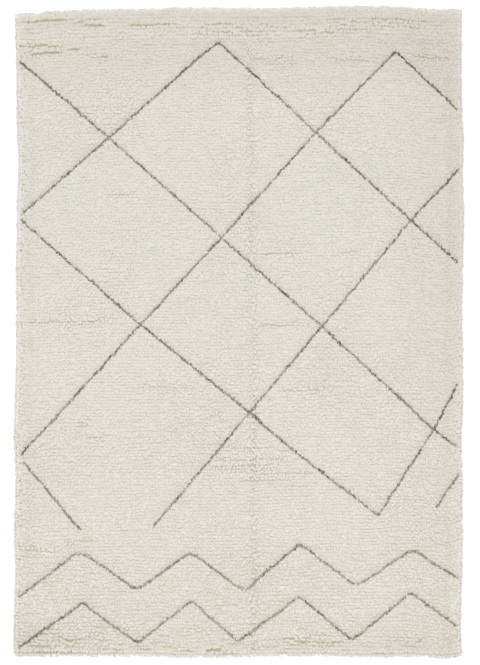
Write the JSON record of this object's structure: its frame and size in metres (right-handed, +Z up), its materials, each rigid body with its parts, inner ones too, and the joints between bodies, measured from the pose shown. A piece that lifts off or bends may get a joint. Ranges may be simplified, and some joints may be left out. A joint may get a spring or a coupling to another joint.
{
  "type": "hand-knotted wool pile rug",
  "caption": "Ivory wool rug with a leaning cut pile, and a thin taupe diamond lattice above zigzag lines at one end; it lies flat.",
  "frame": {"origin": "middle of the rug's flat underside", "axes": "+X across the rug, +Y along it towards the end with no zigzags, +Z up out of the pile"},
  "size_m": [1.6164, 2.3368, 0.0222],
  "materials": {
    "ivory_wool": "matte",
    "taupe_wool": "matte",
    "ground_weave": "matte"
  },
  "bodies": {
    "root": {"pile_rug": "ivory_wool"}
  },
  "joints": []
}
